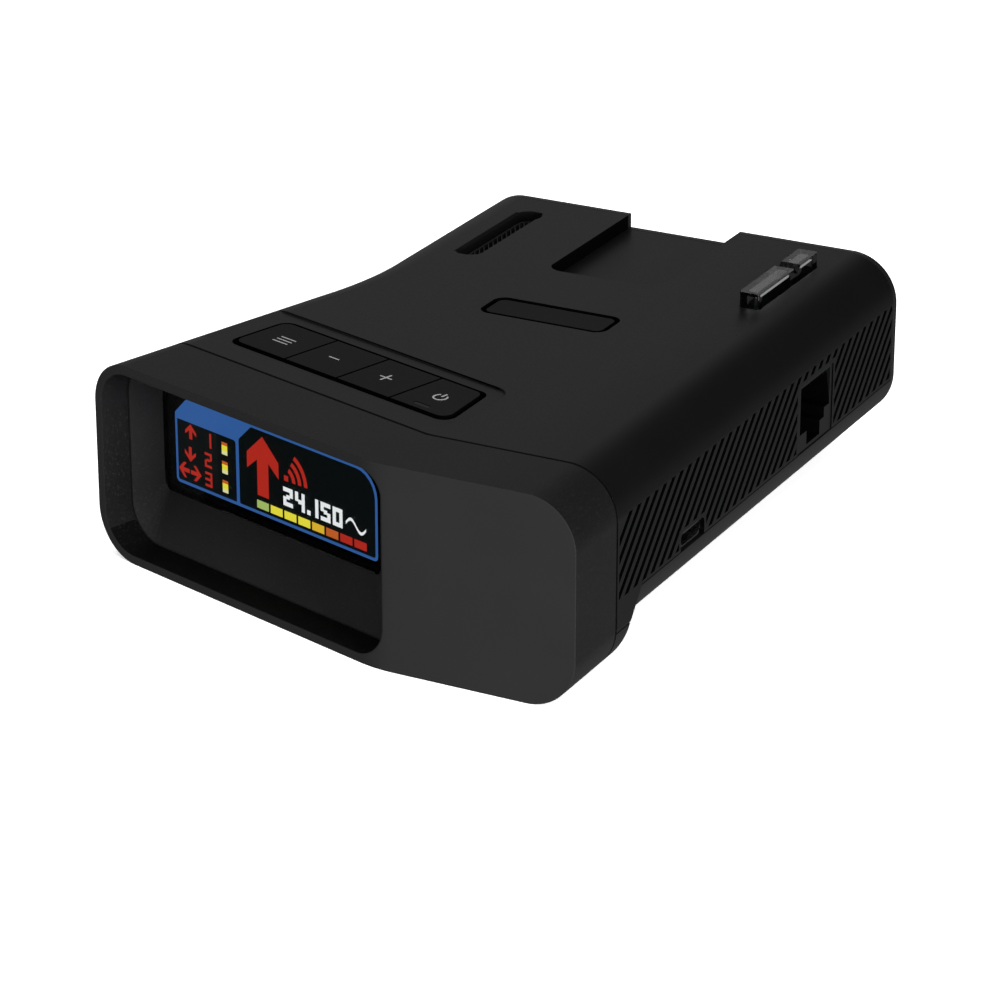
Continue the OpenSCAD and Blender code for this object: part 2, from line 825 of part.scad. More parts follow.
module usb_shell() {
  depth = 5.4;
  face_x = right_x - 0.5;
  color([0.75, 0.75, 0.77])
  translate([0, usb_y, board_top + 0.15])
  difference() {
    along_x(face_x - depth, face_x)
      rounded_shape([[-usb_w / 2 + 1, 0], [usb_w / 2 - 1, 0], [usb_w / 2, 1], [usb_w / 2, usb_h], [-usb_w / 2, usb_h], [-usb_w / 2, 1]],
                    [0.4, 0.4, 0.4, 0.4, 0.4, 0.4]);
    along_x(face_x - depth + 0.4, face_x + 1)
      rounded_shape([[-usb_w / 2 + 1.1, 0.3], [usb_w / 2 - 1.1, 0.3], [usb_w / 2 - 0.3, 1.1], [usb_w / 2 - 0.3, usb_h - 0.3], [-usb_w / 2 + 0.3, usb_h - 0.3], [-usb_w / 2 + 0.3, 1.1]],
                    [0.2, 0.2, 0.2, 0.2, 0.2, 0.2]);
  }
}

module usb_tongue() {
  color([0.05, 0.05, 0.05])
  block([right_x - 5.5, usb_y - 1.8, board_top + 1.45], [right_x - 1.2, usb_y + 1.8, board_top + 1.95]);
}

// Clear light collector on the roof, with a flange under the shell
module laser_lens() {
  notch_l_y = 3.3;
  color([0.85, 0.88, 0.9, 0.5])
  translate([lens_x, lens_y, 0])
  difference() {
    union() {
      along_z(inner_top_z - 0.2, body_h + lens_rise)
        rounded_box([-lens_w / 2, -lens_l / 2], [lens_w / 2, lens_l / 2], [1, 1, 1, 1] * 0.5);
      along_z(inner_top_z - 1.2, inner_top_z - 0.1)
        rounded_box([-lens_w / 2 - 1, -lens_l / 2 - 1], [lens_w / 2 + 1, lens_l / 2 + 1], [1.5, 1.5, 1.5, 1.5]);
    }
    // groove across the top
    along_x(-5, 5) translate([notch_l_y, body_h + lens_rise])
      polygon([[-1.3, 0.1], [0, -1.2], [1.3, 0.1]]);
    // pockets over the sensors
    for (p = lens_pockets)
      along_z(inner_top_z - 2, body_h + lens_rise - 0.9)
        rounded_box([-0.8, p[0]], [0.8, p[1]], [0.4, 0.4, 0.4, 0.4]);
  }
}

module laser_board() {
  color([0.05, 0.3, 0.18])
  translate([lens_x, lens_y, 0]) along_z(inner_top_z - 3.9, inner_top_z - 2.9)
    rounded_box([-4, -12], [4, 11], [1, 1, 1, 1]);
}

module laser_sensors() {
  color([0.1, 0.1, 0.12])
  translate([lens_x, lens_y, 0]) for (y = [-6.5, 7.5])
    along_z(inner_top_z - 2.9, inner_top_z - 1.9) translate([0, y]) square([3, 4], center = true);
}

module cross_screw(head_r, head_h, shank_r, l) {
  difference() {
    union() {
      along_z(0, head_h) circle(r = head_r);
      along_z(head_h - eps, l) circle(r = shank_r);
    }
    for (a = [0, 90]) rotate([0, 0, a])
      block([-head_r * 0.65, -0.28, -1], [head_r * 0.65, 0.28, head_h * 0.55]);
  }
}

module case_screws() {
  color([0.2, 0.2, 0.22])
  for (p = case_screw_xy) translate([p[0], p[1], underside_z + 0.9]) cross_screw(2.1, 1.7, 0.9, 14);
}

module board_screws() {
  color([0.7, 0.7, 0.72])
  for (p = board_screw_xy)
    translate([p[0], p[1], switch_board_z - switch_board_t - 1.3]) cross_screw(1.7, 1.3, 0.7, 6);
}

module blank_label() {
  color([0.75, 0.76, 0.78])
  along_z(underside_z + 0.1, underside_z + 0.3)
    rounded_box([-11.7, -1.7], [29.7, 33.7], [1.8, 1.8, 1.8, 1.8]);
}

front_bezel();
display_hood();
display_window();
display_panel();
display_board();
display_ribbon();
top_shell();
bottom_cover();
rear_window();
speaker_grille();
speaker_gasket();
speaker_basket();
speaker_cone();
menu_button();
minus_button();
plus_button();
power_button();
mute_button();
power_light();
switch_board();
tact_switches();
gps_antenna();
main_board();
board_chips();
rf_housing();
rf_cover();
front_horn();
rear_horn();
power_jack();
jack_contacts();
usb_shell();
usb_tongue();
laser_lens();
laser_board();
laser_sensors();
case_screws();
board_screws();
blank_label();
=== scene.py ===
"""Looks of the windscreen radar detector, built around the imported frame."""

import json
import math

import bmesh
import bpy
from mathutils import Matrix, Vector

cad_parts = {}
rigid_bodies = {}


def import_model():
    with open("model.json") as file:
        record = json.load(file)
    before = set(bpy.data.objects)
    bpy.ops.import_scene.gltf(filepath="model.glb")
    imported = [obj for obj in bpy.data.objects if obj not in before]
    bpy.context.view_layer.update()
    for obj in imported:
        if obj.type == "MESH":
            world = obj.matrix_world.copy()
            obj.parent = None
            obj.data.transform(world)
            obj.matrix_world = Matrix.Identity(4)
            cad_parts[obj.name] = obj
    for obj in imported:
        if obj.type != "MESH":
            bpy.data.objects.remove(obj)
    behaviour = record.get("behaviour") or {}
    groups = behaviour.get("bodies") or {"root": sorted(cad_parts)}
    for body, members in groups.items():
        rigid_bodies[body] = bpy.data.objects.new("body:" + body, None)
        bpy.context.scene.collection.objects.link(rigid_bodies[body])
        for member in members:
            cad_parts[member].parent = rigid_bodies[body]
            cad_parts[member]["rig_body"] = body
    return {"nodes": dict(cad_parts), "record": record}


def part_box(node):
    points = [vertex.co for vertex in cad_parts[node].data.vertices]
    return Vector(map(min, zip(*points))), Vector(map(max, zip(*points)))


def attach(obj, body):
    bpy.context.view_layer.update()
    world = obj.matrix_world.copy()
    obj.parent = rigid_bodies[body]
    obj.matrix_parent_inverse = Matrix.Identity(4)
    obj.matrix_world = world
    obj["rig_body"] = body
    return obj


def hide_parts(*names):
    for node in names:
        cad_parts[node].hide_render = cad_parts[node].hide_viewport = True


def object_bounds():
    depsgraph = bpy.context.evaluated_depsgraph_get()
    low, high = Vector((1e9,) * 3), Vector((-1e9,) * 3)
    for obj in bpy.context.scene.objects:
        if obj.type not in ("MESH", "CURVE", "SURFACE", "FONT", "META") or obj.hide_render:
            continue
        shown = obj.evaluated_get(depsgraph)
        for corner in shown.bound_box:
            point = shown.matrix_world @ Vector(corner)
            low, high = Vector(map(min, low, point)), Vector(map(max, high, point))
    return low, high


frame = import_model()
cad_low, cad_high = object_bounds()

MM = 0.001
NODES = frame["nodes"]
RECORD = frame["record"]
SLOT_OF = {row["node"]: row["material_slot"] for row in RECORD["subparts"]}

# The display faces the driver at this angle, and its own frame starts at the bend of the face:
# u runs along the face to the right, d into the case and z up, all in millimetres.
FACE_TURN = math.radians(16.9)
DISPLAY_FACE_W = 60.4
FACE_Y = cad_low.y / MM
BEND_X = cad_low.x / MM + DISPLAY_FACE_W * math.cos(FACE_TURN)
SCREEN_D = 12.3

BODY_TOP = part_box("top_shell")[1].z / MM
BUTTON_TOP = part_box("menu_button")[1].z / MM

# Faces closer in angle than FLAT_ANGLE are one flat stretch, and a bend past SHARP_ANGLE is an edge.
FLAT_ANGLE = math.radians(0.5)
SHARP_ANGLE = math.radians(32)

# The shading of the flat top falls off to the right between these two x, in millimetres.
CROWN_START, CROWN_END = 25, 40


def at_display(u, d, z):
    """A point of the display's own frame, in metres in the row frame."""
    x = BEND_X + u * math.cos(FACE_TURN) + d * math.sin(FACE_TURN)
    y = FACE_Y - u * math.sin(FACE_TURN) + d * math.cos(FACE_TURN)
    return Vector((x, y, z)) * MM


# ---------------------------------------------------------------- materials

def add_node(tree, kind, settings=None, **inputs):
    """A new shader node, with its settings, and its inputs as values or as links."""
    node = tree.nodes.new(kind)
    for key, value in (settings or {}).items():
        setattr(node, key, value)
    for key, value in inputs.items():
        socket = node.inputs[key.replace("_", " ")]
        if isinstance(value, bpy.types.NodeSocket):
            tree.links.new(value, socket)
        else:
            socket.default_value = value
    return node


def compute(tree, operation, first, second=0.0, third=0.0):
    """The result of a Math node."""
    node = tree.nodes.new("ShaderNodeMath")
    node.operation = operation
    for socket, value in zip(node.inputs, (first, second, third)):
        if isinstance(value, bpy.types.NodeSocket):
            tree.links.new(value, socket)
        else:
            socket.default_value = value
    return node.outputs[0]


def new_material(name):
    """An empty material with one Principled shader, and its coordinates in metres."""
    material = bpy.data.materials.new(name)
    material.use_nodes = True
    tree = material.node_tree
    shader = tree.nodes["Principled BSDF"]
    place = tree.nodes.new("ShaderNodeTexCoord").outputs["Object"]
    return material, tree, shader, place


def noise(tree, place, size_mm, detail=2.0, roughness=0.5):
    """Noise whose blobs are about size_mm across."""
    node = add_node(tree, "ShaderNodeTexNoise", Vector=place, Scale=1 / (size_mm * MM),
                    Detail=detail, Roughness=roughness)
    return node.outputs["Fac"]


def spread(tree, fac, low, high, start=0.3, end=0.7, ramp="LINEAR"):
    """Maps start..end of a value to low..high."""
    node = add_node(tree, "ShaderNodeMapRange", {"interpolation_type": ramp}, Value=fac,
                    From_Min=start, From_Max=end, To_Min=low, To_Max=high)
    return node.outputs["Result"]


def blend_colour(tree, fac, dark, light):
    """A colour between dark and light."""
    node = add_node(tree, "ShaderNodeMix", {"data_type": "RGBA"})
    tree.links.new(fac, node.inputs["Factor"])
    for socket, colour in ((node.inputs[6], dark), (node.inputs[7], light)):
        if isinstance(colour, bpy.types.NodeSocket):
            tree.links.new(colour, socket)
        else:
            socket.default_value = (*colour, 1)
    return node.outputs[2]


def combine(tree, operation, first, second):
    """A Vector Math node that works on two vectors, each a link or a constant."""
    node = tree.nodes.new("ShaderNodeVectorMath")
    node.operation = operation
    for socket, value in zip(node.inputs, (first, second)):
        if isinstance(value, bpy.types.NodeSocket):
            tree.links.new(value, socket)
        else:
            socket.default_value = value
    return node.outputs


def worn_edges(tree, edge_mm, crown):
    """The surface's direction with its edges eased; crown makes the flat top fall off to the right."""
    normal = add_node(tree, "ShaderNodeBevel", {"samples": 6}, Radius=edge_mm * MM).outputs["Normal"]
    if not crown:
        return normal
    place = tree.nodes.new("ShaderNodeTexCoord").outputs["Object"]
    x = add_node(tree, "ShaderNodeSeparateXYZ", Vector=place).outputs["X"]
    up = add_node(tree, "ShaderNodeSeparateXYZ", Vector=normal).outputs["Z"]
    tilt = spread(tree, x, 0, crown, CROWN_START * MM, CROWN_END * MM, "SMOOTHSTEP")
    lean = compute(tree, "MULTIPLY", tilt, compute(tree, "MAXIMUM", up, 0.0))
    side = add_node(tree, "ShaderNodeCombineXYZ", X=lean).outputs["Vector"]
    total = combine(tree, "ADD", normal, side)["Vector"]
    return combine(tree, "NORMALIZE", total, (0, 0, 0))["Vector"]


def bump(tree, shader, height, depth_mm, strength=1.0, edge_mm=0.0, crown=0.0):
    """Raises the shader's surface by a height map, over edges eased by edge_mm."""
    node = add_node(tree, "ShaderNodeBump", Height=height, Distance=depth_mm * MM, Strength=strength)
    if edge_mm:
        tree.links.new(worn_edges(tree, edge_mm, crown), node.inputs["Normal"])
    tree.links.new(node.outputs["Normal"], shader.inputs["Normal"])


def grey(value, tint=1.03):
    """A grey that is a touch blue."""
    return (value, value, value * tint)


def painted_seam_shade(tree, place, near, far):
    """1 in the painted shade along the seam, from near to far millimetres behind the bent face."""
    at = add_node(tree, "ShaderNodeSeparateXYZ", Vector=place)
    x = compute(tree, "SUBTRACT", at.outputs["X"], BEND_X * MM)
    y = compute(tree, "SUBTRACT", at.outputs["Y"], FACE_Y * MM)
    turned = compute(tree, "MULTIPLY_ADD", x, math.sin(FACE_TURN),
                     compute(tree, "MULTIPLY", y, math.cos(FACE_TURN)))
    depth = compute(tree, "MINIMUM", y, turned)
    half = (far - near) / 2
    off = compute(tree, "ABSOLUTE", compute(tree, "SUBTRACT", depth, (near + half) * MM))
    return spread(tree, off, 1, 0, half * 0.6 * MM, half * MM)


def moulded_plastic(name, colour, roughness, grain_mm=0.3, grain_depth=0.012, variation=0.22,
                    specular=0.5, speckle=0.0, edge_mm=0.0, crown=0.0, line=None):
    """Plastic with an etched grain, slightly uneven in colour and gloss.

    speckle adds light specks, and line is where a painted shade runs along a seam, in millimetres behind
    the face.
    """
    material, tree, shader, place = new_material(name)
    grain = noise(tree, place, grain_mm, detail=3.0, roughness=0.6)
    cloud = noise(tree, place, 14, detail=3.0)
    dark = tuple(c * (1 - variation) for c in colour)
    light = tuple(c * (1 + variation) for c in colour)
    tone = compute(tree, "MULTIPLY_ADD", grain, 0.6, compute(tree, "MULTIPLY", cloud, 0.4))
    body = blend_colour(tree, spread(tree, tone, 0, 1), dark, light)
    if speckle:
        specks = spread(tree, noise(tree, place, grain_mm * 0.9, detail=1.0), 0, 1, 0.62, 0.72)
        body = blend_colour(tree, specks, body, tuple(c * (1 + speckle) for c in colour))
    gloss = spread(tree, grain, roughness - 0.05, roughness + 0.05)
    if line:
        # Paints a near-black, matt shade along the seam, where the shadow of the gap falls.
        mask = painted_seam_shade(tree, place, *line)
        body = blend_colour(tree, mask, body, grey(0.0004, 1.0))
        gloss = compute(tree, "ADD", gloss, mask)
    tree.links.new(body, shader.inputs["Base Color"])
    tree.links.new(gloss, shader.inputs["Roughness"])
    shader.inputs["Specular IOR Level"].default_value = specular
    bump(tree, shader, grain, grain_depth, edge_mm=edge_mm, crown=crown)
    return material


def polished_plastic(name, colour, roughness=0.12, specular=0.5, edge_mm=0.0):
    """Smooth plastic with faint ripples and fingerprint-like changes in gloss."""
    material, tree, shader, place = new_material(name)
    ripple = noise(tree, place, 9, detail=2.0)
    smear = noise(tree, place, 3, detail=4.0)
    tree.links.new(blend_colour(tree, spread(tree, smear, 0, 1), tuple(c * 0.85 for c in colour), colour),
                   shader.inputs["Base Color"])
    tree.links.new(spread(tree, smear, roughness * 0.8, roughness * 1.35), shader.inputs["Roughness"])
    shader.inputs["Specular IOR Level"].default_value = specular
    bump(tree, shader, ripple, 0.01, edge_mm=edge_mm)
    return material


def metal(name, colour, roughness, grain_mm=0.5, stretch=(1, 1, 1), depth=0.006):
    """Metal with grain; stretch draws the grain out along an axis, as brushing does."""
    material, tree, shader, place = new_material(name)
    turned = add_node(tree, "ShaderNodeMapping", Vector=place, Scale=stretch).outputs[0]
    grain = noise(tree, turned, grain_mm, detail=4.0, roughness=0.65)
    tarnish = noise(tree, place, 5, detail=3.0)
    tree.links.new(blend_colour(tree, spread(tree, tarnish, 0, 1), tuple(c * 0.8 for c in colour), colour),
                   shader.inputs["Base Color"])
    tree.links.new(spread(tree, grain, roughness * 0.75, roughness * 1.3), shader.inputs["Roughness"])
    shader.inputs["Metallic"].default_value = 1.0
    bump(tree, shader, grain, depth)
    return material


def clear_plastic(name, tint, roughness=0.03, ior=1.49, ripple=0.004):
    """Clear acrylic with faint flow lines and a little haze."""
    material, tree, shader, place = new_material(name)
    flow = noise(tree, place, 2.5, detail=3.0)
    tree.links.new(blend_colour(tree, spread(tree, flow, 0, 1), tuple(c * 0.97 for c in tint), tint),
                   shader.inputs["Base Color"])
    tree.links.new(spread(tree, flow, roughness * 0.6, roughness * 1.6), shader.inputs["Roughness"])
    shader.inputs["Transmission Weight"].default_value = 1.0
    shader.inputs["IOR"].default_value = ior
    bump(tree, shader, flow, ripple)
    return material


def circuit_board(name):
    """Green solder mask over copper tracks."""
    material, tree, shader, place = new_material(name)
    tracks = add_node(tree, "ShaderNodeTexBrick", Vector=place, Scale=1 / (9 * MM), Mortar_Size=0.02,
                      Mortar_Smooth=0.1, Brick_Width=0.31, Row_Height=0.17,
                      Color1=(0.010, 0.085, 0.042, 1), Color2=(0.014, 0.105, 0.05, 1),
                      Mortar=(0.03, 0.17, 0.08, 1))
    vias = add_node(tree, "ShaderNodeTexVoronoi", Vector=place, Scale=1 / (2.1 * MM))
    holes = spread(tree, vias.outputs["Distance"], 1, 0, 0.1, 0.13)
    tree.links.new(blend_colour(tree, holes, tracks.outputs["Color"], (0.45, 0.36, 0.16)),
                   shader.inputs["Base Color"])
    tree.links.new(spread(tree, noise(tree, place, 1.2), 0.22, 0.36), shader.inputs["Roughness"])
    bump(tree, shader, tracks.outputs["Fac"], 0.03, 0.6)
    return material


def lit_material(name, colour, strength=1.0):
    """A lit area of the display, with the fine grid of its dots."""
    material, tree, shader, place = new_material(name)
    dots = add_node(tree, "ShaderNodeTexVoronoi", {"distance": "CHEBYCHEV"}, Vector=place,
                    Scale=1 / (0.12 * MM), Randomness=0.0)
    glow = blend_colour(tree, spread(tree, dots.outputs["Distance"], 0, 1, 0.3, 0.5),
                        colour, tuple(c * 0.9 for c in colour))
    shader.inputs["Base Color"].default_value = (0.004, 0.004, 0.004, 1)
    tree.links.new(glow, shader.inputs["Emission Color"])
    shader.inputs["Emission Strength"].default_value = strength
    shader.inputs["Roughness"].default_value = 0.4
    shader.inputs["Specular IOR Level"].default_value = 0.2
    return material


SHELL = grey(0.0022)
CROWN = 0.10
MATERIALS = {
    "shell": moulded_plastic("shell_plastic", SHELL, 0.35, 0.28, 0.006, edge_mm=0.12, crown=CROWN),
    "fascia": moulded_plastic("fascia_plastic", grey(0.0165), 0.5, 0.25, 0.006, 0.12, 0.4, edge_mm=0.35),
    "hood": moulded_plastic("hood_plastic", grey(0.0135), 0.6, 0.3, 0.008, 0.25, 0.3, speckle=0.8),
    "window": clear_plastic("window_acrylic", (0.97, 0.97, 0.98), 0.02),
    "panel_glass": polished_plastic("display_glass", (0.0035, 0.0045, 0.0045), 0.15),
    "circuit_board": circuit_board("circuit_board"),
    "ribbon": polished_plastic("ribbon_film", (0.45, 0.2, 0.04), 0.25),
    "rear_plate": polished_plastic("rear_plate_gloss", grey(0.006), 0.12, edge_mm=0.15),
    "grille": moulded_plastic("grille_plastic", grey(0.012), 0.45, 0.2, 0.006, edge_mm=0.05),
    "foam": moulded_plastic("gasket_foam", grey(0.02), 0.9, 0.5, 0.06, 0.4, 0.2),
    "speaker_frame": moulded_plastic("basket_plastic", grey(0.035), 0.5),
    "cone": moulded_plastic("cone_paper", grey(0.012), 0.85, 0.4, 0.03, 0.4, 0.2),
    "switch_metal": metal("switch_steel", (0.6, 0.6, 0.62), 0.3, 0.4, (1, 8, 1)),
    "ceramic": moulded_plastic("antenna_ceramic", (0.55, 0.47, 0.31), 0.5, 0.4, 0.02, 0.1),
    "chip": moulded_plastic("chip_epoxy", grey(0.012), 0.6, 0.2, 0.01),
    "die_cast": metal("die_cast", (0.55, 0.55, 0.57), 0.42, 0.9, depth=0.02),
    "tin_plate": metal("tin_plate", (0.72, 0.72, 0.74), 0.22, 0.6, (1, 6, 1)),
    "socket": moulded_plastic("socket_nylon", grey(0.004), 0.4, 0.3, 0.006, edge_mm=0.1),
    "gold": metal("gold_flash", (0.83, 0.6, 0.25), 0.25, 0.3),
    "clear": clear_plastic("lens_acrylic", (0.98, 0.985, 0.99), 0.02, ripple=0.001),
    "screw": metal("black_zinc", (0.09, 0.09, 0.095), 0.38, 0.4, depth=0.01),
    "label": moulded_plastic("label_film", (0.42, 0.43, 0.45), 0.4, 0.3, 0.004, 0.05),
    "button": moulded_plastic("button_plastic", grey(0.0024), 0.45, 0.22, 0.006, specular=0.18,
                              edge_mm=0.16),
    "light_guide": polished_plastic("light_guide", grey(0.0012), 0.2),
}
# Finishes for parts of a node's surface.
# The bezel's outside carries the painted seam shade, 12.5 to 12.95 mm behind the face.
BEZEL_SIDE = moulded_plastic("bezel_side_plastic", grey(0.0042), 0.38, 0.28, 0.008, specular=0.33,
                             speckle=1.2, edge_mm=0.12, crown=CROWN, line=(12.5, 12.95))
RIM_WALL = moulded_plastic("rim_wall_plastic", grey(0.0065), 0.5, 0.3, 0.01, 0.3, 0.4, speckle=2.5)
LIP = moulded_plastic("lip_plastic", grey(0.0024), 0.7, 0.3, 0.01, 0.4, 0.15, speckle=5.0)
# Near-black painted shade, put where shade falls: the side grooves, the well walls, the notch wall, the
# button sides and inside the jack.
PAINTED_SHADE = moulded_plastic("painted_shade_plastic", grey(0.0006), 0.8, 0.3, 0.01, specular=0.05)
PRINT = moulded_plastic("white_print", grey(0.2, 1.0), 0.5, 0.15, 0.002, 0.08, 0.3)
PICTURE = {
    "blue": lit_material("lit_blue", (0.034, 0.118, 0.36)),
    "black": lit_material("lit_black", (0.0028, 0.0045, 0.0045)),
    "red": lit_material("lit_red", (0.48, 0.025, 0.015)),
    "white": lit_material("lit_white", (0.92, 0.96, 0.97)),
    "pale": lit_material("lit_pale", (0.40, 0.55, 0.15)),
    "cream": lit_material("lit_cream", (0.80, 0.80, 0.42)),
    "yellow": lit_material("lit_yellow", (0.88, 0.80, 0.055)),
    "gold": lit_material("lit_gold", (0.80, 0.50, 0.034)),
    "orange": lit_material("lit_orange", (0.58, 0.125, 0.022)),
}


# ---------------------------------------------------------------- pieces

def link(name, mesh):
    """A new object in the scene."""
    piece = bpy.data.objects.new(name, mesh)
    bpy.context.scene.collection.objects.link(piece)
    return piece


def flat_areas(form):
    """The area of the flat stretch that each face belongs to."""
    area_of = {}
    for start in form.faces:
        if start in area_of:
            continue
        stretch, seen = [start], {start}
        for face in stretch:
            for edge in face.edges:
                for other in edge.link_faces:
                    if other not in seen and other.normal.angle(face.normal, 0) < FLAT_ANGLE:
                        seen.add(other)
                        stretch.append(other)
        area = sum(face.calc_area() for face in stretch)
        for face in stretch:
            area_of[face] = area
    return area_of


def corner_normals(form):
    """A direction for each face corner: flat stretches stay flat, and roundings run out of them."""
    area_of = flat_areas(form)
    normal_of = {}
    for vert in form.verts:
        left = set(vert.link_faces)
        while left:
            fan = [left.pop()]
            for face in fan:
                for edge in face.edges:
                    if vert not in edge.verts:
                        continue
                    for other in edge.link_faces:
                        if other in left and other.normal.angle(face.normal, 0) < SHARP_ANGLE:
                            left.remove(other)
                            fan.append(other)
            total = Vector()
            for face in fan:
                corner = next(loop for loop in face.loops if loop.vert == vert)
                total += face.normal * area_of[face] ** 2 * corner.calc_angle() * 1e9
            for face in fan:
                normal_of[face.index, vert.index] = total.normalized() if total.length else face.normal
    return normal_of


def smoothed(node, finishes=(), finish_of=None):
    """Stands for a CAD node: the same form, smooth where it is round.

    finish_of(centre, normal) picks one of the extra finishes for a face, or 0 for the node's own.
    """
    source = NODES[node]
    form = bmesh.new()
    form.from_mesh(source.data)
    bmesh.ops.remove_doubles(form, verts=form.verts, dist=0.0015 * MM)
    bmesh.ops.dissolve_degenerate(form, edges=form.edges, dist=0.0001 * MM)
    form.normal_update()
    form.verts.index_update()
    form.faces.index_update()
    for face in form.faces:
        face.smooth = True
        if finish_of:
            face.material_index = finish_of(face.calc_center_median() / MM, face.normal)
    normal_of = corner_normals(form)
    mesh = bpy.data.meshes.new(node + "_form")
    form.to_mesh(mesh)
    form.free()
    mesh.materials.append(MATERIALS[SLOT_OF[node]])
    for finish in finishes:
        mesh.materials.append(finish)
    mesh.normals_split_custom_set([normal_of[face.index, mesh.loops[i].vertex_index]
                                   for face in mesh.polygons for i in face.loop_indices])
    piece = link(node + "_form", mesh)
    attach(piece, source["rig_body"])
    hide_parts(node)
    return piece


def painted(node):
    """Gives a CAD node its finish."""
    piece = NODES[node]
    piece.data.materials.clear()
    piece.data.materials.append(MATERIALS[SLOT_OF[node]])


# Where the case changes finish, in millimetres. The bezel's opening stays RIM_MARGIN inside the left,
# top and bottom of the case, and ends OPENING_RIGHT past the bend of the face.
FACE_NORMAL = Vector((-math.sin(FACE_TURN), -math.cos(FACE_TURN), 0))
RIM_MARGIN = 1.0
OPENING_RIGHT = 1.6

# The grooves are found by how far they are inside the two sides, and by how far the ribs start below
# the top of the shell. They stop short of the seam and of the rear.
SHELL_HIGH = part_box("top_shell")[1] / MM
LEFT_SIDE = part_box("rear_window")[0].x / MM
SEAM_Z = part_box("bottom_cover")[1].z / MM
GROOVE_START, GROOVE_END = 0.1, 0.7
RIGHT_RIBS_DROP, LEFT_RIBS_DROP = 7.9, 7.0
GROOVE_ABOVE_SEAM, GROOVE_BEFORE_REAR = 0.3, 0.4

# The wells are a little wider than their buttons, and the notch is behind them.
BUTTONS = ["menu_button", "minus_button", "plus_button", "power_button", "mute_button"]
WELLS = [tuple(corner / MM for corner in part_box(name)) for name in BUTTONS]
WELL_DEPTH = 6.0
WELL_MARGIN = 1.2
NOTCH_LEFT, NOTCH_MARGIN = -2.45, 0.5
JACK_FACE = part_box("power_jack")[1].x / MM
JACK_RIM = 0.5


def bezel_finish(centre, normal):
    """The face has its own finish; the walls of the opening are 1, its floor 3, and the outside 2."""
    x, y = centre.x - BEND_X, centre.y - FACE_Y
    u = x * math.cos(FACE_TURN) - y * math.sin(FACE_TURN)
    if normal.dot(FACE_NORMAL) > 0.9 or normal.y < -0.9:
        return 0
    across = RIM_MARGIN - DISPLAY_FACE_W < u < OPENING_RIGHT
    if not (across and RIM_MARGIN < centre.z < BODY_TOP - RIM_MARGIN):
        return 2
    return 3 if normal.z > 0.5 else 1


def in_groove(centre):
    """Whether a point is in one of the slanted grooves of the sides."""
    right = (GROOVE_START < SHELL_HIGH.x - centre.x < GROOVE_END
             and centre.z < SHELL_HIGH.z - RIGHT_RIBS_DROP)
    left = (GROOVE_START < centre.x - LEFT_SIDE < GROOVE_END
            and centre.z < SHELL_HIGH.z - LEFT_RIBS_DROP)
    above_seam = centre.z > SEAM_Z + GROOVE_ABOVE_SEAM
    return (right or left) and above_seam and centre.y < SHELL_HIGH.y - GROOVE_BEFORE_REAR


def within(centre, well, margin):
    """Whether a point is over a box with a margin round it, seen from above."""
    low, high = well
    return low.x - margin < centre.x < high.x + margin and low.y - margin < centre.y < high.y + margin


def shell_finish(centre, normal):
    """The grooves of the sides, the walls of the wells and the notch's left wall are 1, the near-black
    painted shade.
    """
    if in_groove(centre):
        return 1
    if abs(normal.z) >= 0.5 or centre.z <= SHELL_HIGH.z - WELL_DEPTH:
        return 0
    if normal.x > 0.7 and abs(centre.x - NOTCH_LEFT) < NOTCH_MARGIN and centre.y > 0:
        return 1
    return 1 if any(within(centre, well, WELL_MARGIN) for well in WELLS) else 0


def button_finish(centre, normal):
    """The sides of a button are 1, the near-black painted shade."""
    return 1 if normal.z < 0.35 else 0


def jack_finish(centre, normal):
    """The walls inside the jack are 1, the near-black painted shade."""
    return 1 if centre.x < JACK_FACE - JACK_RIM else 0


PARTLY_FINISHED = {
    "front_bezel": ([RIM_WALL, BEZEL_SIDE, LIP], bezel_finish),
    "top_shell": ([PAINTED_SHADE], shell_finish),
    "power_jack": ([PAINTED_SHADE], jack_finish),
    **{name: ([PAINTED_SHADE], button_finish) for name in BUTTONS},
}
ROUNDED = ["bottom_cover", "rear_window", "laser_lens", "usb_shell"]
for node, (finishes, finish_of) in PARTLY_FINISHED.items():
    smoothed(node, finishes, finish_of)
for node in ROUNDED:
    smoothed(node)
for node in NODES:
    if node not in ROUNDED and node not in PARTLY_FINISHED:
        painted(node)


# ---------------------------------------------------------------- flat shapes

def slab(name, body, finish, shapes, to_world, thickness):
    """Thin plates: each shape is a ring of 2-D points, and to_world takes a point and a height."""
    form = bmesh.new()
    for shape in shapes:
        verts = [form.verts.new(to_world(point, 0)) for point in shape]
        form.faces.new(verts)
    made = bmesh.ops.extrude_face_region(form, geom=form.faces[:])
    lift = to_world((0, 0), thickness) - to_world((0, 0), 0)
    lifted = [part for part in made["geom"] if isinstance(part, bmesh.types.BMVert)]
    bmesh.ops.translate(form, verts=lifted, vec=lift)
    bmesh.ops.recalc_face_normals(form, faces=form.faces)
    mesh = bpy.data.meshes.new(name)
    form.to_mesh(mesh)
    form.free()
    mesh.materials.append(finish)
    piece = link(name, mesh)
    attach(piece, body)
    return piece


def box_shape(low_x, high_x, low_y, high_y):
    """A rectangle."""
    return [(low_x, low_y), (high_x, low_y), (high_x, high_y), (low_x, high_y)]


def round_corners(points, radii, steps=6):
    """The outline through points with each corner rounded by its own radius."""
    outline = []
    for i, (point, radius) in enumerate(zip(points, radii)):
        corner = Vector(point)
        if not radius:
            outline.append(tuple(corner))
            continue
        before = (Vector(points[i - 1]) - corner).normalized()
        after = (Vector(points[(i + 1) % len(points)]) - corner).normalized()
        half = before.angle(after) / 2
        centre = corner + (before + after).normalized() * radius / math.sin(half)
        start = corner + before * radius / math.tan(half) - centre
        end = corner + after * radius / math.tan(half) - centre
        for k in range(steps + 1):
            outline.append(tuple(centre + start.slerp(end, k / steps) * radius))
    return outline


